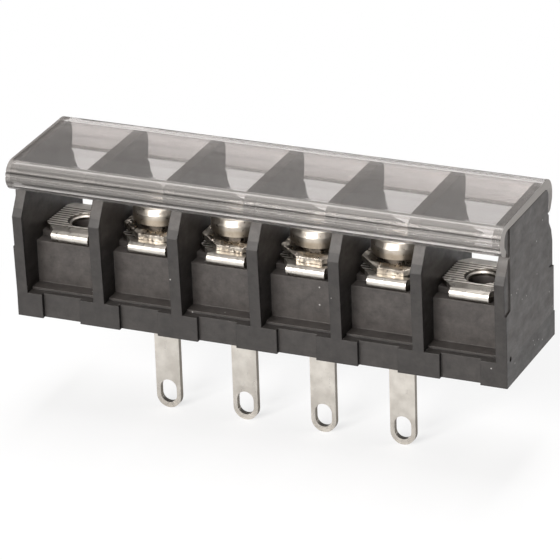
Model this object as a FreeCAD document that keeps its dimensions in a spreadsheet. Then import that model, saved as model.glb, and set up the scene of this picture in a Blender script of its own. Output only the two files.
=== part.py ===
import FreeCAD, Part
import math
import os
import re
import Sketcher

# Barrier terminal strip: four screw terminals with solder lugs between two
# mounting bays, in a black moulding with a clear snap-over cover.
# X runs along the strip, Y from the front to the back, Z up.
# The origin lies on the underside, midway between the two mounting holes.
# Sketches are drawn from the front left corner of the moulding and each body
# is then moved into the frame of the strip.

SIZES = [
    # moulding: rail, pads and barriers
    ("pitch", 9.5, "distance between two barriers"),
    ("terminals", 4, "bays with a screw terminal"),
    ("wall", 1.3, "thickness of a barrier"),
    ("base_depth", 15.0, "depth of the lower rail"),
    ("rail_height", 2.87, "height of the lower rail"),
    ("recess_depth", 0.5, "set-back of the rail between two pads"),
    ("pad_side", 1.78, "reach of a pad beyond its barrier"),
    ("ledge_front", 1.25, "front of the low ledge on the rail"),
    ("ledge_rise", 0.25, "height of the ledge over the rail"),
    ("panel_front", 2.95, "front face of the central block"),
    ("row_centre", 7.2, "centre line of screws, holes and lugs"),
    # barrier outline, front then back
    ("bend_y", -0.4, "most forward point of a barrier"),
    ("bend_z", 12.1, "height of that point"),
    ("nose_y", -0.5, "front of the nose that carries the lip"),
    ("nose_face", 0.65, "upright front of the nose"),
    ("nose_r", 0.9, "rounding of the nose"),
    ("neck_in", 1.65, "set-back of the front neck behind the nose"),
    ("neck_drop", 1.85, "front neck below the nose"),
    ("barrier_top", 18.15, "top of the barriers"),
    ("bead_y", 13.15, "back of the rear bead"),
    ("bead_r", 1.0, "rounding of the rear bead"),
    ("bead_face", 0.75, "upright back of the bead"),
    ("rear_neck_in", 0.25, "set-back of the rear neck from the bead"),
    ("rear_neck_drop", 1.25, "rear neck below the bead"),
    ("rear_step_out", 0.2, "step under the neck, behind the bead"),
    ("rear_step_drop", 1.7, "step under the neck, below the bead"),
    ("rear_knee_out", 0.35, "knee of the rear slope behind the bead"),
    ("rear_knee_drop", 2.4, "knee of the rear slope below the bead"),
    ("rear_in", 0.3, "set-back of the upright rear edge from the rail"),
    ("rear_edge_z", 11.3, "top of the upright rear edge"),
    ("rear_slope_in", 0.35, "foot of the rear slope in front of that edge"),
    ("rear_slope_up", 1.4, "foot of the rear slope above the upright edge"),
    # thinner margins of the end walls
    ("margin_step", 0.15, "depth of the margin step"),
    ("margin_front", 1.1, "front margin, inner line"),
    ("margin_back", 13.2, "rear margin, inner line"),
    ("margin_low", 8.67, "lower end of the margins"),
    ("margin_fall", 0.45, "fall of the lower end to the edge"),
    ("dimple_r", 0.3, "gate dimple on the right end wall"),
    ("dimple_y", 1.0, "dimple from the front"),
    ("dimple_z", 3.1, "dimple from below"),
    # metal strip of the terminals
    ("strip", 0.65, "thickness of the strip metal"),
    ("plate_top", 9.4, "top of the contact plates"),
    ("plate_gap", 0.1, "room between a contact plate and a barrier"),
    ("plate_reach", 4.2, "rear edge of a plate behind the row centre"),
    ("corner_cut", 1.1, "rear corners of a plate"),
    ("fold_out", 0.1, "folded edge in front of the panel"),
    ("fold_half", 2.25, "half width of the folded edge"),
    ("fold_lap", 0.25, "lower layer behind the fold before it turns down"),
    ("shoulder_in", 1.3, "set-back of the inner shoulder from the side"),
    ("shoulder_in_back", 1.25, "inner shoulder behind the folded edge"),
    ("shoulder_back", 2.55, "outer shoulder behind the folded edge"),
    ("well_floor", 1.5, "floor of the well under a terminal"),
    ("well_gap", 0.1, "room round the strip in the well"),
    ("well_back_gap", 0.75, "room behind the tapped burr"),
    ("bend_r", 0.6, "outer bend of the leg"),
    ("lug_half", 1.5, "half width of a solder lug"),
    ("lug_drop", 12.2, "reach of a lug below the moulding"),
    ("eye_half", 1.0, "half width of the lug eye"),
    ("eye_length", 2.8, "length of the lug eye"),
    ("eye_up", 2.05, "centre of the eye above the end of the lug"),
    ("slot_gap", 0.05, "room round the lug in the floor"),
    ("burr_wall", 0.5, "wall of the tapped burr"),
    ("burr_depth", 1.0, "depth of the burr under the plate"),
    ("ridge_first", 4.6, "first groove of the serration"),
    ("ridge_pitch", 0.57, "distance between two grooves"),
    ("ridge_count", 10, "number of grooves"),
    ("ridge_width", 0.3, "width of a groove"),
    ("ridge_depth", 0.12, "depth of a groove"),
    # mounting holes
    ("mount_r", 1.6, "mounting hole"),
    ("rim_width", 0.45, "width of the rim bevel"),
    ("rim_depth", 0.35, "depth of the rim bevel"),
    # screw, lock washer and clamp plate
    ("shank_r", 1.72, "outside of the screw thread"),
    ("thread_gap", 0.03, "room between screw and tapped burr"),
    ("tip_gap", 0.7, "room between the screw tip and the strip below"),
    ("head_r", 3.2, "screw head"),
    ("head_side", 1.15, "upright side of the head"),
    ("head_bevel", 0.6, "height of the bevel over that side"),
    ("head_bevel_in", 0.35, "set-back of the top of the bevel"),
    ("head_dome", 0.4, "rise of the dome over the bevel"),
    ("cross_long", 1.75, "half length of the cross recess"),
    ("cross_half", 0.4, "half width of the cross recess"),
    ("cross_deep", 1.4, "depth of the cross recess"),
    ("cross_rim", 0.25, "flat crown round the recess"),
    ("screw_step", 20, "degrees that one screw is turned from the next"),
    ("washer_r", 2.45, "lock washer outside"),
    ("washer_height", 0.8, "lock washer height"),
    ("washer_split", 0.35, "gap in the lock washer"),
    ("washer_angle", 300, "place of that gap in degrees"),
    ("bore_gap", 0.2, "room between the screw and what it carries"),
    ("clamp_sheet", 0.65, "thickness of the clamp plate"),
    ("clamp_gap", 0.4, "room between the clamp plate and a barrier"),
    ("clamp_rest", 0.05, "flat middle of the clamp plate round the washer"),
    ("clamp_lift", 0.4, "middle of the clamp plate over the contact plate"),
    ("clamp_lip", 0.6, "reach of the front and back lips beyond the middle"),
    ("clamp_lip_half", 1.5, "half width of those lips at their edge"),
    ("clamp_wing", 0.35, "rise of the side wings over the middle"),
    ("clamp_wing_in", 0.5, "set-back of the wing corners from the middle's"),
    # clear cover
    ("cover_gap", 0.05, "room between cover and barriers"),
    ("cover_wall", 1.1, "wall of the cover"),
    ("cover_fall", 0.3, "fall of the cover top from back to front"),
    ("cover_left", 0.44, "left end of the cover"),
    ("lip_wall", 1.35, "reach of the cover lip in front of the nose"),
    ("lip_r", 1.75, "rounding of the lip"),
    ("lip_turn", 235, "end of that rounding, in degrees from straight back"),
    ("hook_in", 0.5, "reach of the lip's hook under the nose"),
    ("hook_drop", 0.65, "start of the hook below the nose"),
    ("hook_low", 1.2, "lowest point of the hook below the nose"),
    ("heel_out", 1.0, "reach of the rear heel behind the bead"),
    ("heel_in", 0.18, "reach of the rear heel under the bead"),
    ("heel_drop", 1.0, "start of the heel below the bead"),
    ("heel_low", 1.25, "lowest point of the heel below the bead"),
    ("grip_depth", 0.13, "depth of a grip groove in the lip"),
    ("grip_half", 6, "half of the groove's opening, in degrees"),
]

doc = FreeCAD.newDocument("BarrierTerminalStrip")
sheet = doc.addObject("Spreadsheet::Sheet", "Sizes")
for row, (alias, value, note) in enumerate(SIZES, start=1):
    sheet.set("A%d" % row, alias)
    sheet.set("B%d" % row, str(value))
    sheet.set("C%d" % row, note)
    sheet.setAlias("B%d" % row, alias)
doc.recompute()

FUNCTIONS = ("cos", "sin", "deg", "max")
GRIP_ANGLES = (155, 173, 215)


def sized(text):
    """Point every size name in an expression at the sheet."""
    def name(found):
        word = found.group(0)
        return word if word in FUNCTIONS else "Sizes." + word
    return re.sub(r"[a-z][a-z_]*", name, str(text))


def value(text):
    """The number that an expression has now."""
    return float(sheet.evalExpression(sized(text)))


def settle(item, x, y):
    """Move a part from the front left corner into the frame of the strip."""
    item.setExpression("Placement.Base.x", sized("%s - %s / 2" % (x, LENGTH)))
    item.setExpression("Placement.Base.y", sized("%s - row_centre" % y))


def new_body(name, x="0", y="0"):
    body = doc.addObject("PartDesign::Body", name)
    body.Label = name
    settle(body, x, y)
    return body


def origin_item(body, role):
    return [item for item in body.Origin.OriginFeatures if item.Role == role][0]


def new_sketch(body, name, role, height=None):
    sketch = body.newObject("Sketcher::SketchObject", name)
    sketch.AttachmentSupport = [(origin_item(body, role), "")]
    sketch.MapMode = "FlatFace"
    if height is not None:
        sketch.setExpression("AttachmentOffset.Base.z", sized(height))
    return sketch


def hold(sketch, kind, item, point, text):
    """Fix one coordinate of a sketch point from the sheet."""
    index = sketch.addConstraint(Sketcher.Constraint(kind, -1, 1, item, point, value(text)))
    sketch.setExpression("Constraints[%d]" % index, sized(text))


def draw_loop(sketch, corners):
    """Closed outline. A corner is (x, y); a third entry ((cx, cy), axis) makes
    the side that ends there an arc about that centre, with only the named
    coordinate of its end held."""
    first = sketch.GeometryCount
    count = len(corners)
    spots = [FreeCAD.Vector(value(c[0]), value(c[1]), 0) for c in corners]
    ends = []
    for i in range(count):
        start, end = spots[i], spots[(i + 1) % count]
        target = corners[(i + 1) % count]
        if len(target) == 2:
            sketch.addGeometry(Part.LineSegment(start, end))
            ends.append((1, 2))
            continue
        centre = FreeCAD.Vector(value(target[2][0]), value(target[2][1]), 0)
        radius = (start - centre).Length
        begin = math.atan2(start.y - centre.y, start.x - centre.x)
        finish = math.atan2(end.y - centre.y, end.x - centre.x)
        counter = (finish - begin) % (2 * math.pi) < math.pi + 0.001
        low, high = (begin, finish) if counter else (finish, begin)
        circle = Part.Circle(centre, FreeCAD.Vector(0, 0, 1), radius)
        sketch.addGeometry(Part.ArcOfCircle(circle, low, high + (2 * math.pi if high < low else 0)))
        ends.append((1, 2) if counter else (2, 1))
    for i in range(count):
        after = (i + 1) % count
        sketch.addConstraint(Sketcher.Constraint("Coincident", first + i, ends[i][1],
                                                 first + after, ends[after][0]))
    for i, corner in enumerate(corners):
        held = "xy" if len(corner) == 2 else corner[2][2]
        if "x" in held:
            hold(sketch, "DistanceX", first + i, ends[i][0], corner[0])
        if "y" in held:
            hold(sketch, "DistanceY", first + i, ends[i][0], corner[1])
        if len(corner) == 3:
            arc = first + (i - 1) % count
            hold(sketch, "DistanceX", arc, 3, corner[2][0])
            hold(sketch, "DistanceY", arc, 3, corner[2][1])


def draw_box(sketch, x_low, x_high, y_low, y_high):
    draw_loop(sketch, [(x_low, y_low), (x_high, y_low), (x_high, y_high), (x_low, y_high)])


def draw_circle(sketch, x, y, radius):
    centre = FreeCAD.Vector(value(x), value(y), 0)
    item = sketch.addGeometry(Part.Circle(centre, FreeCAD.Vector(0, 0, 1), value(radius)))
    hold(sketch, "DistanceX", item, 3, x)
    hold(sketch, "DistanceY", item, 3, y)
    index = sketch.addConstraint(Sketcher.Constraint("Radius", item, value(radius)))
    sketch.setExpression("Constraints[%d]" % index, sized(radius))


def extrude(body, kind, name, sketch, length, middle=False, back=False):
    feature = body.newObject("PartDesign::" + kind, name)
    feature.Profile = sketch
    feature.setExpression("Length", sized(length))
    feature.Midplane = middle
    feature.Reversed = back
    sketch.Visibility = False
    doc.recompute()
    return feature


def pad(body, name, sketch, length, middle=False, back=False):
    return extrude(body, "Pad", name, sketch, length, middle, back)


def pocket(body, name, sketch, length, middle=False, back=False):
    return extrude(body, "Pocket", name, sketch, length, middle, back)


def row_of(body, name, feature, axis, length, count):
    pattern = body.newObject("PartDesign::LinearPattern", name)
    pattern.Originals = [feature]
    pattern.Direction = (origin_item(body, axis), [""])
    pattern.setExpression("Length", sized(length))
    pattern.setExpression("Occurrences", sized(count))
    body.Tip = pattern
    doc.recompute()
    return pattern


def turned(body, name, corners):
    """Solid of revolution about Z from an outline of radius and height."""
    sketch = new_sketch(body, name + "_outline", "XZ_Plane")
    draw_loop(sketch, corners)
    feature = body.newObject("PartDesign::Revolution", name)
    feature.Profile = sketch
    feature.ReferenceAxis = (sketch, ["V_Axis"])
    feature.Angle = 360
    sketch.Visibility = False
    doc.recompute()
    return feature


# Places that follow from the sizes.
BAYS = "(terminals + 2)"
LENGTH = "(%s * pitch + wall)" % BAYS
HALF_BAY = "((pitch + wall) / 2)"
SEAT = "(plate_top - strip)"
FOLD_SEAT = "(plate_top - 2 * strip)"
FOLD_FRONT = "(panel_front - fold_out)"
LEG_FRONT = "(%s + strip + fold_lap)" % FOLD_FRONT
LEG_BACK = "(%s + strip)" % LEG_FRONT
PLATE_HALF = "((pitch - wall) / 2 - plate_gap)"
PLATE_BACK = "(row_centre + plate_reach)"
BURR_R = "(shank_r + thread_gap + burr_wall)"
WELL_HALF = "(max(fold_half; %s) + well_gap)" % BURR_R
LUG_BACK = "(row_centre + strip / 2)"
EYE_Z = "(eye_up - lug_drop)"
NOSE_LOW = "(barrier_top - nose_r - nose_face)"
BEAD_LOW = "(barrier_top - bead_r - bead_face)"
REAR_EDGE = "(base_depth - rear_in)"
BORE = "(shank_r + bore_gap)"
CLAMP_TOP = "(plate_top + clamp_lift + clamp_sheet)"
HEAD_LOW = "(%s + washer_height)" % CLAMP_TOP
CLAMP_HALF = "((pitch - wall) / 2 - clamp_gap)"
CLAMP_FLAT = "(washer_r + clamp_rest)"
COVER_IN = "(barrier_top + cover_gap)"
COVER_OUT = "(%s + cover_wall)" % COVER_IN
LIP_FRONT = "(nose_y - cover_gap - lip_wall)"
LIP_MID = "(%s + lip_r)" % LIP_FRONT
LIP_Z = "(%s - cover_fall - lip_r)" % COVER_OUT
NOSE_MID = "(nose_y + nose_r)"
BEAD_MID = "(bead_y - bead_r)"


def bay_centre(number):
    """Middle of a bay; the left mounting bay is number 0."""
    return "(%d * pitch + %s)" % (number, HALF_BAY)


def mirrored(text):
    """The same distance on the other side of the row centre."""
    return "(2 * row_centre - (%s))" % text


def make_housing():
    body = new_body("housing")
    base = new_sketch(body, "rail_outline", "XY_Plane")
    draw_box(base, "0", LENGTH, "0", "base_depth")
    pad(body, "rail", base, "rail_height")

    gaps = new_sketch(body, "rail_recess_outline", "XY_Plane", "rail_height")
    for low, high in (("-recess_depth", "recess_depth"),
                      ("base_depth - recess_depth", "base_depth + recess_depth")):
        draw_box(gaps, "wall + pad_side", "pitch - pad_side", low, high)
    recess = pocket(body, "rail_recess", gaps, "rail_height")
    row_of(body, "rail_recesses", recess, "X_Axis", "(%s - 1) * pitch" % BAYS, BAYS)

    block = new_sketch(body, "block_outline", "YZ_Plane")
    half = [("ledge_front", "0"), ("ledge_front", "rail_height + ledge_rise"),
            ("panel_front", "rail_height + ledge_rise"), ("panel_front", FOLD_SEAT),
            (LEG_BACK + " + well_gap", FOLD_SEAT), (LEG_BACK + " + well_gap", SEAT)]
    other = [(mirrored(y), z) for y, z in reversed(half)]
    draw_loop(block, half + other)
    pad(body, "block", block, LENGTH)

    side = new_sketch(body, "barrier_outline", "YZ_Plane")
    draw_loop(side, [
        ("0", "0"), ("0", "rail_height"), ("bend_y", "bend_z"),
        ("nose_y + neck_in", NOSE_LOW + " - neck_drop"),
        ("nose_y", NOSE_LOW), ("nose_y", "barrier_top - nose_r"),
        (NOSE_MID, "barrier_top", (NOSE_MID, "barrier_top - nose_r", "x")),
        (BEAD_MID, "barrier_top"),
        ("bead_y", "barrier_top - bead_r", (BEAD_MID, "barrier_top - bead_r", "y")),
        ("bead_y", BEAD_LOW), ("bead_y - rear_neck_in", BEAD_LOW + " - rear_neck_drop"),
        ("bead_y + rear_step_out", BEAD_LOW + " - rear_step_drop"),
        ("bead_y + rear_knee_out", BEAD_LOW + " - rear_knee_drop"),
        (REAR_EDGE + " - rear_slope_in", "rear_edge_z + rear_slope_up"),
        (REAR_EDGE, "rear_edge_z"), (REAR_EDGE, "0")])
    barrier = pad(body, "barrier", side, "wall")
    row_of(body, "barriers", barrier, "X_Axis", BAYS + " * pitch", BAYS + " + 1")

    pit = new_sketch(body, "well_outline", "XY_Plane", SEAT)
    draw_box(pit, bay_centre(1) + " - " + WELL_HALF, bay_centre(1) + " + " + WELL_HALF,
             LEG_FRONT + " - well_gap", "row_centre + %s + well_back_gap" % BURR_R)
    well = pocket(body, "well", pit, SEAT + " - well_floor")
    row_of(body, "wells", well, "X_Axis", "(terminals - 1) * pitch", "terminals")

    slit = new_sketch(body, "lug_slot_outline", "XY_Plane", "well_floor")
    draw_box(slit, bay_centre(1) + " - lug_half - slot_gap", bay_centre(1) + " + lug_half + slot_gap",
             "row_centre - strip / 2 - slot_gap", "row_centre + strip / 2 + slot_gap")
    slot = pocket(body, "lug_slot", slit, "well_floor")
    row_of(body, "lug_slots", slot, "X_Axis", "(terminals - 1) * pitch", "terminals")

    holes = new_sketch(body, "mounting_hole_outline", "XY_Plane", SEAT)
    draw_circle(holes, bay_centre(0), "row_centre", "mount_r")
    hole = pocket(body, "mounting_hole", holes, SEAT)
    row_of(body, "mounting_holes", hole, "X_Axis", "(%s - 1) * pitch" % BAYS, "2")

    low = "margin_low - margin_fall"
    over = "barrier_top + 1"
    for name, place, back in (("right", LENGTH, False), ("left", "0", True)):
        edge = new_sketch(body, name + "_margin_outline", "YZ_Plane", place)
        draw_loop(edge, [("margin_front", over), ("nose_y - 1", over), ("nose_y - 1", low),
                         ("margin_front", "margin_low")])
        draw_loop(edge, [("margin_back", over), ("margin_back", "margin_low"),
                         (REAR_EDGE + " + 1", low), (REAR_EDGE + " + 1", over)])
        pocket(body, name + "_margin", edge, "margin_step", back=back)

    spot = new_sketch(body, "dimple_outline", "YZ_Plane", LENGTH)
    draw_circle(spot, "dimple_y", "dimple_z", "dimple_r")
    pocket(body, "dimple", spot, "margin_step")
    return body


def on_lip(angle, out="0"):
    """Point on or over the lip's rounding, at an angle from straight back."""
    reach = "(lip_r + (%s))" % out
    return ("%s + %s * cos((%s) * 1 deg)" % (LIP_MID, reach, angle),
            "%s + %s * sin((%s) * 1 deg)" % (LIP_Z, reach, angle))


def make_cover():
    body = new_body("cover", "cover_left")
    side = new_sketch(body, "cover_outline", "YZ_Plane")
    front_in = "(nose_y - cover_gap)"
    back_in = "(bead_y + cover_gap)"
    back_r = "(bead_r + cover_gap + cover_wall)"
    draw_loop(side, [
        (NOSE_MID, COVER_IN),
        (front_in, "barrier_top - nose_r", (NOSE_MID, "barrier_top - nose_r", "y")),
        (front_in, NOSE_LOW),
        (front_in + " + hook_in", NOSE_LOW + " - hook_drop"),
        (front_in + " + hook_in / 2", NOSE_LOW + " - hook_low"),
        on_lip("lip_turn"),
        (LIP_MID, COVER_OUT + " - cover_fall", (LIP_MID, LIP_Z, "x")),
        (BEAD_MID, COVER_OUT),
        (BEAD_MID + " + " + back_r, "barrier_top - bead_r", (BEAD_MID, "barrier_top - bead_r", "y")),
        (back_in + " + heel_out", BEAD_LOW), (back_in + " + heel_out / 2", BEAD_LOW + " - heel_drop"),
        (back_in, BEAD_LOW + " - heel_low"), (back_in + " - heel_in", BEAD_LOW + " - heel_drop"),
        (back_in, BEAD_LOW), (back_in, "barrier_top - bead_r"),
        (BEAD_MID, COVER_IN, (BEAD_MID, "barrier_top - bead_r", "x"))])
    pad(body, "cover_shell", side, LENGTH + " - cover_left")

    grip = new_sketch(body, "grip_outline", "YZ_Plane")
    for angle in GRIP_ANGLES:
        draw_loop(grip, [on_lip("%d - grip_half" % angle, "grip_depth"), on_lip(angle, "-grip_depth"),
                         on_lip("%d + grip_half" % angle, "grip_depth")])
    pocket(body, "grip", grip, LENGTH + " - cover_left", back=True)
    return body


def strip_outline(deep):
    """Side view of the folded strip, from the contact plate to its far end."""
    nose = "(%s + strip)" % FOLD_FRONT
    loop = [("row_centre - " + BURR_R, "plate_top"), (nose, "plate_top"),
            (nose, FOLD_SEAT, (nose, SEAT, "x"))]
    if deep:
        front, back = "(%s + bend_r)" % LEG_FRONT, "(%s - bend_r)" % LUG_BACK
        low, high = "(well_floor + bend_r)", "(well_floor + strip - bend_r)"
        loop += [(LEG_FRONT, FOLD_SEAT), (LEG_FRONT, low),
                 (front, "well_floor", (front, low, "x")),
                 (LUG_BACK, "well_floor"), (LUG_BACK, high),
                 (back, "well_floor + strip", (back, high, "x")),
                 (LEG_BACK, "well_floor + strip")]
    else:
        loop += [(LEG_BACK, FOLD_SEAT)]
    return loop + [(LEG_BACK, SEAT), ("row_centre - " + BURR_R, SEAT)]


def make_plate(name, bay, deep, round_corner):
    """Contact plate with serrated top and folded front edge."""
    body = new_body(name, bay_centre(bay))
    top = new_sketch(body, name + "_top_outline", "XY_Plane", SEAT)
    nose = FOLD_FRONT + " + strip"
    inner = (PLATE_HALF + " - shoulder_in", FOLD_FRONT + " + shoulder_in_back")
    outer = (PLATE_HALF, FOLD_FRONT + " + shoulder_back")
    corner, side = "(%s - corner_cut)" % PLATE_HALF, "(%s - corner_cut)" % PLATE_BACK
    right = [("fold_half", nose), inner, outer, (PLATE_HALF, side)]
    if round_corner:
        rear = [(corner, PLATE_BACK, (corner, side, "x")), ("-" + corner, PLATE_BACK),
                ("-" + PLATE_HALF, side, ("-" + corner, side, "y"))]
    else:
        rear = [(corner, PLATE_BACK), ("-" + corner, PLATE_BACK), ("-" + PLATE_HALF, side)]
    left = [("-(%s)" % x, y) for x, y in reversed(right[:3])]
    draw_loop(top, right + rear + left)
    pad(body, name + "_top", top, "strip")
    side = new_sketch(body, name + "_fold_outline", "YZ_Plane")
    draw_loop(side, strip_outline(deep))
    pad(body, name + "_fold", side, "2 * fold_half", middle=True)
    return body


def cut_serration(body, name):
    groove = new_sketch(body, name + "_groove_outline", "YZ_Plane")
    draw_loop(groove, [("ridge_first", "plate_top"), ("ridge_first + ridge_width", "plate_top"),
                       ("ridge_first + ridge_width / 2", "plate_top - ridge_depth")])
    cut = pocket(body, name + "_groove", groove, "2 * %s + 1" % PLATE_HALF, middle=True)
    row_of(body, name + "_grooves", cut, "Y_Axis", "(ridge_count - 1) * ridge_pitch", "ridge_count")


def make_terminal(number):
    name = "terminal_plate_%d" % number
    body = make_plate(name, number, True, False)
    lug = new_sketch(body, name + "_lug_outline", "XZ_Plane")
    draw_loop(lug, [
        ("-lug_half", "well_floor + strip"), ("-lug_half", "lug_half - lug_drop"),
        ("lug_half", "lug_half - lug_drop", ("0", "lug_half - lug_drop", "y")),
        ("lug_half", "well_floor + strip")])
    lug.setExpression("AttachmentOffset.Base.z", sized("-%s" % LUG_BACK))
    pad(body, name + "_lug", lug, "strip")
    eye = new_sketch(body, name + "_eye_outline", "XZ_Plane")
    eye.setExpression("AttachmentOffset.Base.z", sized("-%s" % LUG_BACK))
    reach = "(eye_length / 2 - eye_half)"
    draw_loop(eye, [
        ("-eye_half", EYE_Z + " - " + reach),
        ("eye_half", EYE_Z + " - " + reach, ("0", EYE_Z + " - " + reach, "y")),
        ("eye_half", EYE_Z + " + " + reach),
        ("-eye_half", EYE_Z + " + " + reach, ("0", EYE_Z + " + " + reach, "y"))])
    pocket(body, name + "_eye", eye, "strip", back=True)
    burr = new_sketch(body, name + "_burr_outline", "XY_Plane", SEAT)
    draw_circle(burr, "0", "row_centre", BURR_R)
    pad(body, name + "_burr", burr, "burr_depth", back=True)
    cut_serration(body, name)
    bore = new_sketch(body, name + "_thread_outline", "XY_Plane", "plate_top")
    draw_circle(bore, "0", "row_centre", "shank_r + thread_gap")
    pocket(body, name + "_thread", bore, "strip + burr_depth")
    return body


def make_mounting_plate(name, bay, round_corner):
    body = make_plate(name, bay, False, round_corner)
    cut_serration(body, name)
    bore = new_sketch(body, name + "_hole_outline", "XY_Plane", "plate_top")
    draw_circle(bore, "0", "row_centre", "mount_r")
    pocket(body, name + "_hole", bore, "strip")
    rim = body.newObject("PartDesign::SubtractiveCone", name + "_rim")
    rim.AttachmentSupport = [(origin_item(body, "XY_Plane"), "")]
    rim.MapMode = "FlatFace"
    rim.setExpression("Radius1", sized("mount_r"))
    rim.setExpression("Radius2", sized("mount_r + rim_width"))
    rim.setExpression("Height", sized("rim_depth"))
    rim.setExpression("AttachmentOffset.Base.y", sized("row_centre"))
    rim.setExpression("AttachmentOffset.Base.z", sized("plate_top - rim_depth"))
    doc.recompute()
    return body


def make_screw(number):
    name = "terminal_screw_%d" % number
    body = new_body(name, bay_centre(number), "row_centre")
    body.Placement.Rotation = FreeCAD.Rotation(FreeCAD.Vector(0, 0, 1), number * value("screw_step"))
    tip = "(well_floor + strip + tip_gap)"
    edge = "(%s + head_side)" % HEAD_LOW
    crown = "(%s + head_bevel + head_dome)" % edge
    turned(body, name + "_blank", [
        ("0", tip), ("shank_r", tip), ("shank_r", HEAD_LOW), ("head_r", HEAD_LOW), ("head_r", edge),
        ("head_r - head_bevel_in", edge + " + head_bevel"), ("cross_long + cross_rim", crown),
        ("0", crown)])
    cross = new_sketch(body, name + "_cross_outline", "XY_Plane", crown)
    arm, half = "cross_long", "cross_half"
    draw_loop(cross, [
        ("-" + arm, "-" + half), ("-" + half, "-" + half), ("-" + half, "-" + arm),
        (half, "-" + arm), (half, "-" + half), (arm, "-" + half), (arm, half), (half, half),
        (half, arm), ("-" + half, arm), ("-" + half, half), ("-" + arm, half)])
    pocket(body, name + "_cross", cross, "cross_deep")
    return body


def make_washer(number):
    name = "lock_washer_%d" % number
    body = new_body(name, bay_centre(number), "row_centre")
    body.Placement.Rotation = FreeCAD.Rotation(FreeCAD.Vector(0, 0, 1), value("washer_angle"))
    turned(body, name + "_ring", [
        (BORE, CLAMP_TOP), ("washer_r", CLAMP_TOP), ("washer_r", HEAD_LOW), (BORE, HEAD_LOW)])
    split = new_sketch(body, name + "_split_outline", "XY_Plane", HEAD_LOW)
    draw_box(split, "0", "washer_r + 1", "-washer_split / 2", "washer_split / 2")
    pocket(body, name + "_split", split, "washer_height")
    return body


def make_clamp(number):
    """Saddle clamp: raised flat middle, lips bent down to the plate, side wings curled up."""
    name = "clamp_plate_%d" % number
    low, lift, wing = value("plate_top"), value("clamp_lift"), value("clamp_wing")
    half, flat, middle = value(CLAMP_HALF), value(CLAMP_FLAT), value("row_centre")
    reach, lip = flat + value("clamp_lip"), value("clamp_lip_half")
    ear = flat - value("clamp_wing_in")

    def slab(*spots):
        spots = [FreeCAD.Vector(x, middle + y, low + z) for x, y, z in spots]
        face = Part.Face(Part.makePolygon(spots + spots[:1]))
        return face.extrude(FreeCAD.Vector(0, 0, value("clamp_sheet")))

    sheets = []
    for end in (-1, 1):
        sheets.append(slab((-flat, end * flat, lift), (flat, end * flat, lift),
                           (lip, end * reach, 0), (-lip, end * reach, 0)))
        sheets.append(slab((end * flat, -flat, lift), (end * half, -ear, lift + wing),
                           (end * half, ear, lift + wing), (end * flat, flat, lift)))
        for side in (-1, 1):
            sheets.append(slab((side * flat, end * flat, lift), (side * lip, end * reach, 0),
                               (side * half, end * ear, lift + wing)))
    flat_middle = slab((-flat, -flat, lift), (flat, -flat, lift), (flat, flat, lift), (-flat, flat, lift))
    height = value(CLAMP_TOP) + wing - low
    bore = Part.makeCylinder(value(BORE), height, FreeCAD.Vector(0, middle, low))
    clamp = doc.addObject("Part::Feature", name)
    clamp.Label = name
    clamp.Shape = flat_middle.multiFuse(sheets).cut(bore).removeSplitter()
    settle(clamp, bay_centre(number), "0")
    return clamp


parts = [make_housing(), make_cover()]
for terminal in range(1, int(value("terminals")) + 1):
    parts += [make_terminal(terminal), make_clamp(terminal), make_washer(terminal), make_screw(terminal)]
parts.append(make_mounting_plate("mounting_plate_left", 0, True))
parts.append(make_mounting_plate("mounting_plate_right", int(value("terminals")) + 1, False))
doc.recompute()

os.makedirs("parts", exist_ok=True)
for item in doc.Objects:
    if "Invalid" in item.State or "Error" in item.State:
        raise RuntimeError("%s: %s" % (item.Name, item.State))
for part in parts:
    shape = part.Shape
    if shape.isNull() or not shape.isValid() or len(shape.Solids) != 1:
        raise RuntimeError("%s has no single valid solid" % part.Label)
    shape.exportStep("parts/%s.step" % part.Label)
    print("%-22s %9.2f mm3  %s" % (part.Label, shape.Volume, shape.BoundBox))
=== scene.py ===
"""Barrier terminal strip: looks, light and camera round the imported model. Metres, row frame."""
import bpy
from math import pi
from mathutils import Matrix, Vector

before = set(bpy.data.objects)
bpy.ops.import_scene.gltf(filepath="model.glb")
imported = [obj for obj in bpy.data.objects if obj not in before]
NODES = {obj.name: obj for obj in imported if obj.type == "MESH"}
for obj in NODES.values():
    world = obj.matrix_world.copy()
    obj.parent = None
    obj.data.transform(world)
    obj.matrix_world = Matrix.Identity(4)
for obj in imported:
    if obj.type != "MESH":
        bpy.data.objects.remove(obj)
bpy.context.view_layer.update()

# places on the housing and the plates
PITCH = 0.0095
BAYS = [(n - 2.5) * PITCH for n in range(6)]
END_WALL_X = 0.0285
FRONT_FACES_Y = -0.0071
RAIL_TOP = 0.003
FLANK_DARK_Z, FLANK_PLAIN_Z = 0.008, 0.0115
PLATE_TOP = 0.0094
PLATE_BOTTOM = 0.0084
RIDGE_TOP = PLATE_TOP - 0.00003
FURROW_BOTTOM = PLATE_TOP - 0.0002
FURROWS_Y = -0.00265

# places on the screws
THREAD_PITCH = 0.0006
THREAD_DEPTH = 0.0005
HEAD_SIDE_TOP = 0.0125
HEAD_SHADED = HEAD_SIDE_TOP - 0.0007

# places on the cover; the lip's painted shade lines are given as angle, reach (both in degrees) and
# depth
REAR_WALL_Y = 0.0056
TOP_UNSHADED_Y, TOP_SHADED_Y = 0.003, -0.003
LEFT_X, RIGHT_X = -0.028, 0.028
LIP_MID_Y, LIP_MID_Z = -0.00735, 0.01725
LIP_BACK, LIP_FRONT = -0.0076, -0.0078
LIP_LOW, LIP_HIGH = -50.0, 30.0
LIP_SHADE_LINES = ((40, 7, 0.55), (22, 9, 1.0), (3, 5, 0.4), (-14, 15, 0.9), (-36, 10, 1.0))

FLOOR_Z = -0.01222
FLOOR_REACH = 1.6

# a face counts as turned toward an axis when that part of its normal is over this
FACING = 0.9

# sockets of a colour Mix node
MIX_FACTOR, MIX_FIRST, MIX_SECOND, MIX_RESULT = 0, 6, 7, 2


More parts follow.
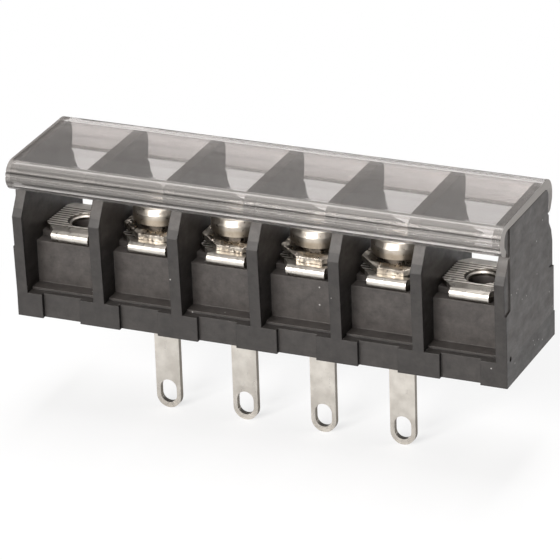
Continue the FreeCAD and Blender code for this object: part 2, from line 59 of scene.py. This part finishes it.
# ---------- node helpers
def new_material(name):
    mat = bpy.data.materials.new(name)
    mat.use_nodes = True
    tree = mat.node_tree
    tree.nodes.clear()
    return mat, tree, tree.nodes.new("ShaderNodeOutputMaterial")


def node(tree, kind, **settings):
    made = tree.nodes.new("ShaderNode" + kind)
    for key, item in settings.items():
        setattr(made, key, item)
    return made


def feed(tree, source, socket):
    """Give a socket a number, a colour or the value of another socket."""
    if isinstance(source, bpy.types.NodeSocket):
        tree.links.new(source, socket)
    elif isinstance(source, tuple):
        socket.default_value = (*source, 1.0)
    else:
        socket.default_value = source


def object_place(tree):
    return node(tree, "TexCoord").outputs["Object"]


def axes(tree, vector):
    made = node(tree, "SeparateXYZ")
    feed(tree, vector, made.inputs[0])
    return made.outputs["X"], made.outputs["Y"], made.outputs["Z"]


def true_normal(tree):
    return axes(tree, node(tree, "NewGeometry").outputs["True Normal"])


def noise(tree, place, scale, detail=3.0, rough=0.5, stretch=None):
    """Noise in metres: scale is the number of features in a metre."""
    if stretch:
        mapping = node(tree, "Mapping")
        mapping.inputs["Scale"].default_value = stretch
        feed(tree, place, mapping.inputs["Vector"])
        place = mapping.outputs["Vector"]
    made = node(tree, "TexNoise")
    made.inputs["Scale"].default_value = scale
    made.inputs["Detail"].default_value = detail
    made.inputs["Roughness"].default_value = rough
    feed(tree, place, made.inputs["Vector"])
    return made.outputs["Fac"]


def remap(tree, value, low, high, to_low=0.0, to_high=1.0):
    """Move a value from one range to another and hold it there."""
    made = node(tree, "MapRange")
    made.inputs["From Min"].default_value = low
    made.inputs["From Max"].default_value = high
    made.inputs["To Min"].default_value = to_low
    made.inputs["To Max"].default_value = to_high
    feed(tree, value, made.inputs["Value"])
    return made.outputs["Result"]


def calc(tree, operation, first, second=0.0, clamp=False):
    """A Math node of two sockets or numbers."""
    made = node(tree, "Math", operation=operation, use_clamp=clamp)
    feed(tree, first, made.inputs[0])
    feed(tree, second, made.inputs[1])
    return made.outputs[0]


def over(tree, value, limit):
    return calc(tree, "GREATER_THAN", value, limit)


def under(tree, value, limit):
    return calc(tree, "LESS_THAN", value, limit)


def product(tree, first, *others):
    for item in others:
        first = calc(tree, "MULTIPLY", first, item)
    return first


def mix_colours(tree, factor, first, second, blend_type="MIX"):
    made = node(tree, "Mix", data_type="RGBA", blend_type=blend_type)
    feed(tree, factor, made.inputs[MIX_FACTOR])
    feed(tree, first, made.inputs[MIX_FIRST])
    feed(tree, second, made.inputs[MIX_SECOND])
    return made.outputs[MIX_RESULT]


def darken(tree, factor, colour, by):
    return mix_colours(tree, factor, colour, by, "MULTIPLY")


def mix_shaders(tree, factor, first, second):
    made = node(tree, "MixShader")
    feed(tree, factor, made.inputs[0])
    feed(tree, first, made.inputs[1])
    feed(tree, second, made.inputs[2])
    return made.outputs[0]


def bump(tree, height, strength, distance, normal=None):
    made = node(tree, "Bump")
    made.inputs["Strength"].default_value = strength
    made.inputs["Distance"].default_value = distance
    feed(tree, height, made.inputs["Height"])
    if normal is not None:
        feed(tree, normal, made.inputs["Normal"])
    return made.outputs["Normal"]


def soft_edges(tree, radius):
    made = node(tree, "Bevel", samples=4)
    made.inputs["Radius"].default_value = radius
    return made.outputs["Normal"]


def specks(tree, place, scale, size, share):
    """Mask of small scattered dots; share is the part of the cells that hold one."""
    cells = node(tree, "TexVoronoi")
    cells.inputs["Scale"].default_value = scale
    feed(tree, place, cells.inputs["Vector"])
    channels = node(tree, "SeparateColor")
    feed(tree, cells.outputs["Color"], channels.inputs[0])
    near = under(tree, cells.outputs["Distance"], size)
    return product(tree, near, under(tree, channels.outputs[0], share))


# ---------- black moulding
def black_moulding():
    """Mottled black; painted shade darkens the front faces, the rail and the flanks in the bays."""
    mat, tree, out = new_material("black_moulding")
    place = object_place(tree)
    x, y, z = axes(tree, place)
    normal_x = true_normal(tree)[0]

    clouds = noise(tree, place, 700.0, 6.0, 0.75)
    colour = mix_colours(tree, remap(tree, clouds, 0.32, 0.68),
                         (0.024, 0.0205, 0.019), (0.060, 0.053, 0.049))
    # painted shade: the front faces and the rail are darkened, standing in for how the light falls
    # on them
    rail = product(tree, under(tree, z, RAIL_TOP), 0.8)
    front_and_rail_shade = calc(tree, "MAXIMUM", under(tree, y, FRONT_FACES_Y), rail)
    colour = darken(tree, front_and_rail_shade, colour, (0.45, 0.45, 0.45))
    # painted shade on the flanks inside the bays, full below FLANK_DARK_Z and gone above
    # FLANK_PLAIN_Z; it also lowers their specular level
    flank_shade = product(tree, over(tree, calc(tree, "ABSOLUTE", normal_x), FACING),
                    under(tree, calc(tree, "ABSOLUTE", x), END_WALL_X),
                    remap(tree, z, FLANK_DARK_Z, FLANK_PLAIN_Z, 1.0, 0.0))
    colour = darken(tree, flank_shade, colour, (0.45, 0.45, 0.45))
    dust = specks(tree, place, 1100.0, 0.10, 0.05)
    colour = mix_colours(tree, dust, colour, (0.30, 0.29, 0.28))

    flow = noise(tree, place, 420.0, 5.0, 0.6, (0.35, 1.0, 2.4))
    grain = bump(tree, noise(tree, place, 6500.0), 0.3, 0.00003, soft_edges(tree, 0.00015))
    waves = bump(tree, noise(tree, place, 300.0, 2.0), 0.18, 0.00012, grain)

    shader = node(tree, "BsdfPrincipled")
    feed(tree, colour, shader.inputs["Base Color"])
    feed(tree, remap(tree, flow, 0.3, 0.7, 0.40, 0.58), shader.inputs["Roughness"])
    feed(tree, remap(tree, flank_shade, 0.0, 1.0, 0.5, 0.3), shader.inputs["Specular IOR Level"])
    feed(tree, waves, shader.inputs["Normal"])
    feed(tree, shader.outputs[0], out.inputs["Surface"])
    return mat


# ---------- clear cover
def cover_tint(tree, place, y):
    """Colour of the clear plastic: streaked on top, with painted shade toward the front, plain
    behind.
    """
    streaks = noise(tree, place, 700.0, 3.0, 0.6, (0.015, 1.0, 1.0))
    top = mix_colours(tree, remap(tree, streaks, 0.35, 0.65),
                      (0.83, 0.785, 0.77), (0.93, 0.90, 0.885))
    # painted shade: the top is darkened toward the front
    top = darken(tree, remap(tree, y, TOP_UNSHADED_Y, TOP_SHADED_Y), top, (0.80, 0.80, 0.80))
    return mix_colours(tree, over(tree, y, REAR_WALL_Y), top, (0.86, 0.83, 0.815))


def lip_painted_light(tree, place, x, y, z):
    """Painted light round the lip, brighter toward its top and its right end, with painted shade as
    darker lines along its furrows and inner folds.
    """
    angle = calc(tree, "ARCTAN2", calc(tree, "SUBTRACT", z, LIP_MID_Z),
                 calc(tree, "SUBTRACT", LIP_MID_Y, y))
    around = calc(tree, "DIVIDE", angle, pi / 180)
    drift = noise(tree, place, 500.0, 3.0, 0.6, (0.03, 1.0, 1.0))
    fine = node(tree, "TexNoise", noise_dimensions="1D")
    fine.inputs["Scale"].default_value = 0.16
    feed(tree, around, fine.inputs["W"])
    painted_light_level = product(tree, remap(tree, drift, 0.3, 0.7, 0.8, 1.0),
                    remap(tree, around, LIP_LOW, LIP_HIGH, 0.50, 1.08),
                    remap(tree, x, LEFT_X, RIGHT_X, 0.92, 1.25),
                    remap(tree, fine.outputs["Fac"], 0.35, 0.6, 0.72, 1.1))
    for middle, reach, depth in LIP_SHADE_LINES:
        off = calc(tree, "ABSOLUTE", calc(tree, "SUBTRACT", around, float(middle)))
        near = calc(tree, "SUBTRACT", 1.0, calc(tree, "DIVIDE", off, float(reach)), True)
        painted_light_level = product(tree, painted_light_level, calc(tree, "SUBTRACT", 1.0, product(tree, near, depth)))
    return painted_light_level


def sawn_end(tree, place):
    """Matt cut end, which light from inside also reaches."""
    marks = noise(tree, place, 2500.0, 4.0, 0.6, (1.0, 0.15, 1.0))
    matt = node(tree, "BsdfPrincipled")
    feed(tree, mix_colours(tree, marks, (0.24, 0.23, 0.22), (0.36, 0.345, 0.335)),
         matt.inputs["Base Color"])
    matt.inputs["Roughness"].default_value = 0.7
    feed(tree, bump(tree, marks, 0.5, 0.00005), matt.inputs["Normal"])
    glow = node(tree, "BsdfTranslucent")
    feed(tree, (0.42, 0.40, 0.385), glow.inputs["Color"])
    return mix_shaders(tree, 0.5, matt.outputs[0], glow.outputs[0])


def clear_plastic():
    """Clear strip with matt sawn ends; the thick lip is hazier than the top and carries painted
    light and shade.
    """
    mat, tree, out = new_material("clear_cover")
    place = object_place(tree)
    x, y, z = axes(tree, place)
    on_lip = remap(tree, y, LIP_BACK, LIP_FRONT)
    painted_light_level = lip_painted_light(tree, place, x, y, z)

    clear = node(tree, "BsdfPrincipled")
    # painted light and shade tint the lip through the clear layer's colour
    painted_lip_tint = mix_colours(tree, painted_light_level, (0.10, 0.095, 0.09), (1.0, 1.0, 1.0))
    feed(tree, darken(tree, on_lip, cover_tint(tree, place, y), painted_lip_tint), clear.inputs["Base Color"])
    clear.inputs["Transmission Weight"].default_value = 1.0
    feed(tree, remap(tree, on_lip, 0.0, 1.0, 1.49, 1.20), clear.inputs["IOR"])
    smudge = noise(tree, place, 180.0, 4.0)
    feed(tree, remap(tree, smudge, 0.35, 0.7, 0.01, 0.07), clear.inputs["Roughness"])
    drawn = noise(tree, place, 160.0, 2.0, 0.5, (0.01, 1.0, 1.0))
    feed(tree, bump(tree, drawn, 0.05, 0.0001, soft_edges(tree, 0.00012)), clear.inputs["Normal"])

    pale = node(tree, "BsdfPrincipled")
    # the haze layer's colour follows the same painted light and shade
    feed(tree, mix_colours(tree, painted_light_level, (0.012, 0.011, 0.010), (0.62, 0.60, 0.58)),
         pale.inputs["Base Color"])
    pale.inputs["Roughness"].default_value = 0.3
    haze = remap(tree, on_lip, 0.0, 1.0, 0.07, 0.30)
    body = mix_shaders(tree, haze, clear.outputs[0], pale.outputs[0])

    end = over(tree, calc(tree, "ABSOLUTE", true_normal(tree)[0]), FACING)
    body = mix_shaders(tree, end, body, sawn_end(tree, place))

    # light reaches the pieces below through the cover
    rays = node(tree, "LightPath").outputs
    passing = node(tree, "BsdfTransparent")
    feed(tree, (0.86, 0.855, 0.85), passing.inputs["Color"])
    indirect = calc(tree, "MAXIMUM", rays["Is Shadow Ray"], rays["Is Diffuse Ray"])
    feed(tree, mix_shaders(tree, indirect, body, passing.outputs[0]), out.inputs["Surface"])
    return mat


# ---------- plated metal
def metal(name, colour, worn, scratch=None):
    """Start of a cloudy, scratched metal; the caller finishes its colour, roughness and normal."""
    mat, tree, out = new_material(name)
    place = object_place(tree)
    shader = node(tree, "BsdfPrincipled")
    shader.inputs["Metallic"].default_value = 1.0
    feed(tree, shader.outputs[0], out.inputs["Surface"])
    clouds = noise(tree, place, 700.0, 4.0)
    shade = mix_colours(tree, remap(tree, clouds, 0.35, 0.65), worn, colour)
    streaks = noise(tree, place, 2600.0, 3.0, 0.6, scratch)
    return mat, tree, place, shader, shade, streaks


def scratched(tree, streaks, normal=None):
    return bump(tree, streaks, 0.10, 0.00001, normal)


def strip_metal():
    """Terminal and mounting plates: painted shade in the furrows and on their walls, a painted
    highlight on the ridges, and dark cut edges.
    """
    mat, tree, place, shader, shade, streaks = metal(
        "plated_strip", (0.69, 0.66, 0.61), (0.56, 0.53, 0.485), (1.0, 0.25, 0.25))
    _, y, z = axes(tree, place)
    normal_x, _, normal_z = true_normal(tree)
    serrated = over(tree, y, FURROWS_Y)

    # painted shade in the furrows and a painted highlight on the ridge tops
    furrow_shade = product(tree, under(tree, z, RIDGE_TOP), over(tree, z, FURROW_BOTTOM), serrated,
                     over(tree, normal_z, 0.3))
    shade = mix_colours(tree, furrow_shade, shade, (0.10, 0.09, 0.077))
    ridge_highlight = product(tree, over(tree, z, RIDGE_TOP), over(tree, normal_z, FACING), serrated)
    shade = mix_colours(tree, ridge_highlight, shade, (0.90, 0.87, 0.825))
    # painted shade on the walls of the grooves; the plate's cut edges are darkened as well
    wall = product(tree, over(tree, z, PLATE_BOTTOM), serrated,
                   under(tree, calc(tree, "ABSOLUTE", normal_z), 0.5))
    side = over(tree, calc(tree, "ABSOLUTE", normal_x), FACING)
    cut_edges_and_groove_shade = calc(tree, "MAXIMUM", wall, side)
    feed(tree, darken(tree, cut_edges_and_groove_shade, shade, (0.34, 0.32, 0.29)), shader.inputs["Base Color"])

    roughness = calc(tree, "ADD", remap(tree, streaks, 0.3, 0.7, 0.26, 0.42),
                     product(tree, ridge_highlight, 0.06))
    feed(tree, roughness, shader.inputs["Roughness"])
    feed(tree, scratched(tree, streaks), shader.inputs["Normal"])
    return mat


def pressed_metal(name, colour, worn, rough_low, rough_high, scratch, edge):
    """Clamps and lock washers: small pressed pieces, a little uneven."""
    mat, tree, place, shader, shade, streaks = metal(name, colour, worn, scratch)
    feed(tree, shade, shader.inputs["Base Color"])
    feed(tree, remap(tree, streaks, 0.3, 0.7, rough_low, rough_high), shader.inputs["Roughness"])
    dents = bump(tree, noise(tree, place, 1100.0, 2.0), 0.6, 0.0003, soft_edges(tree, edge))
    feed(tree, scratched(tree, streaks, dents), shader.inputs["Normal"])
    return mat


def screw_metal(centre_x):
    """Bright screw: thread turns on the shank and painted shade on the lower side of the head."""
    mat, tree, place, shader, shade, streaks = metal(
        "plated_screw_%+.0f" % (centre_x * 1e4), (0.66, 0.62, 0.56), (0.46, 0.425, 0.37))
    x, y, z = axes(tree, place)
    # painted shade: the head's side darkens from HEAD_SIDE_TOP down to HEAD_SHADED
    head_side_shade = remap(tree, z, HEAD_SIDE_TOP, HEAD_SHADED)
    feed(tree, darken(tree, head_side_shade, shade, (0.66, 0.60, 0.53)), shader.inputs["Base Color"])
    feed(tree, remap(tree, streaks, 0.3, 0.7, 0.26, 0.42), shader.inputs["Roughness"])

    angle = calc(tree, "ARCTAN2", y, calc(tree, "SUBTRACT", x, centre_x))
    turns = calc(tree, "ADD", calc(tree, "DIVIDE", angle, 2 * pi),
                 calc(tree, "DIVIDE", z, THREAD_PITCH))
    thread = product(tree, calc(tree, "PINGPONG", turns, 0.5), under(tree, z, PLATE_TOP))
    feed(tree, bump(tree, thread, 1.0, THREAD_DEPTH, scratched(tree, streaks)),
         shader.inputs["Normal"])
    return mat


MOULDING = black_moulding()
COVER = clear_plastic()
STRIP = strip_metal()
CLAMP = pressed_metal("plated_clamp", (0.46, 0.43, 0.385), (0.22, 0.195, 0.165), 0.22, 0.46,
                      (1.0, 0.5, 1.0), 0.00012)
# painted shade: the lock washers get a dark copy of the pressed metal, standing in for the shade
# under the screw heads
LOCK_WASHER_SHADED = pressed_metal("spring_steel", (0.17, 0.145, 0.12), (0.06, 0.05, 0.04), 0.22, 0.40,
                       (1.0, 1.0, 1.0), 0.0001)


def wear(obj, mat):
    obj.data.materials.clear()
    obj.data.materials.append(mat)
    for face in obj.data.polygons:
        face.material_index = 0


for name, obj in NODES.items():
    if name == "housing":
        wear(obj, MOULDING)
    elif name == "cover":
        wear(obj, COVER)
    elif name.startswith("terminal_screw"):
        wear(obj, screw_metal(BAYS[int(name[-1])]))
    elif name.startswith("clamp_plate"):
        wear(obj, CLAMP)
    elif name.startswith("lock_washer"):
        wear(obj, LOCK_WASHER_SHADED)
    else:
        wear(obj, STRIP)


# ---------- floor
def pale_floor():
    """Pale floor that keeps the shadow and turns plain white away from the piece."""
    mat, tree, out = new_material("pale_floor")
    place = object_place(tree)
    shader = node(tree, "BsdfPrincipled")
    feed(tree, mix_colours(tree, noise(tree, place, 6.0), (0.95, 0.96, 0.975), (0.97, 0.98, 0.995)),
         shader.inputs["Base Color"])
    shader.inputs["Roughness"].default_value = 0.8
    shader.inputs["Specular IOR Level"].default_value = 0.1
    distance = node(tree, "VectorMath", operation="LENGTH")
    feed(tree, place, distance.inputs[0])
    white = node(tree, "Emission")
    white.inputs["Strength"].default_value = 1.0
    share = product(tree, remap(tree, distance.outputs["Value"], 0.03, 0.06, 0.72, 1.0),
                    node(tree, "LightPath").outputs["Is Camera Ray"])
    feed(tree, mix_shaders(tree, share, shader.outputs[0], white.outputs[0]), out.inputs["Surface"])
    return mat


def floor():
    corners = ((-1, -1), (1, -1), (1, 1), (-1, 1))
    mesh = bpy.data.meshes.new("floor")
    mesh.from_pydata([(x * FLOOR_REACH, y * FLOOR_REACH, FLOOR_Z) for x, y in corners],
                     [], [(0, 1, 2, 3)])
    mesh.materials.append(pale_floor())
    obj = bpy.data.objects.new("floor", mesh)
    bpy.context.scene.collection.objects.link(obj)


floor()


# ---------- light
def area(name, place, target, width, height, power, colour=(1, 1, 1)):
    data = bpy.data.lights.new(name, "AREA")
    data.shape = "RECTANGLE"
    data.size = width
    data.size_y = height
    data.energy = power
    data.color = colour
    obj = bpy.data.objects.new(name, data)
    obj.location = place
    aim = Vector(target) - Vector(place)
    obj.rotation_mode = "QUATERNION"
    obj.rotation_quaternion = aim.to_track_quat("-Z", "Y")
    bpy.context.scene.collection.objects.link(obj)


area("key", (-0.13, -0.85, 0.40), (0, 0, 0.008), 0.5, 0.4, 12.5, (1.0, 0.97, 0.94))
area("side", (0.80, 0.26, 0.20), (0, 0, 0.01), 0.35, 0.3, 2.12, (1.0, 0.95, 0.91))
area("top", (0.0, 0.15, 0.90), (0, 0, 0.0), 0.25, 0.8, 4.0)


def background(tree, colour, strength):
    made = node(tree, "Background")
    feed(tree, colour, made.inputs["Color"])
    made.inputs["Strength"].default_value = strength
    return made.outputs[0]


def studio():
    """Soft faint light all round, plain white where the camera looks past the piece."""
    world = bpy.data.worlds.new("studio")
    bpy.context.scene.world = world
    world.use_nodes = True
    tree = world.node_tree
    tree.nodes.clear()
    rays = node(tree, "LightPath").outputs
    seen = calc(tree, "MAXIMUM", rays["Is Camera Ray"], rays["Is Transmission Ray"])
    surface = mix_shaders(tree, seen, background(tree, (1.0, 0.98, 0.96), 0.09),
                          background(tree, (1.0, 1.0, 1.0), 1.0))
    feed(tree, surface, node(tree, "OutputWorld").inputs["Surface"])


studio()


# ---------- camera, as fitted to the photo
def camera():
    lens = bpy.data.cameras.new("camera")
    lens.sensor_width = 36.0
    lens.lens = 247.0
    lens.clip_start = 0.01
    lens.clip_end = 20.0
    right = Vector((0.91778882, 0.39586306, -0.03092132))
    up = Vector((-0.13288732, 0.37960763, 0.91555393))
    back = Vector((0.37417195, -0.83617611, 0.40100482))
    turn = Matrix((right, up, back)).transposed()
    eye = bpy.data.objects.new("camera", lens)
    eye.matrix_world = Matrix.Translation((0.158394, -0.354298, 0.175369)) @ turn.to_4x4()
    bpy.context.scene.collection.objects.link(eye)
    bpy.context.scene.camera = eye


camera()
bpy.context.scene.view_settings.view_transform = "Standard"
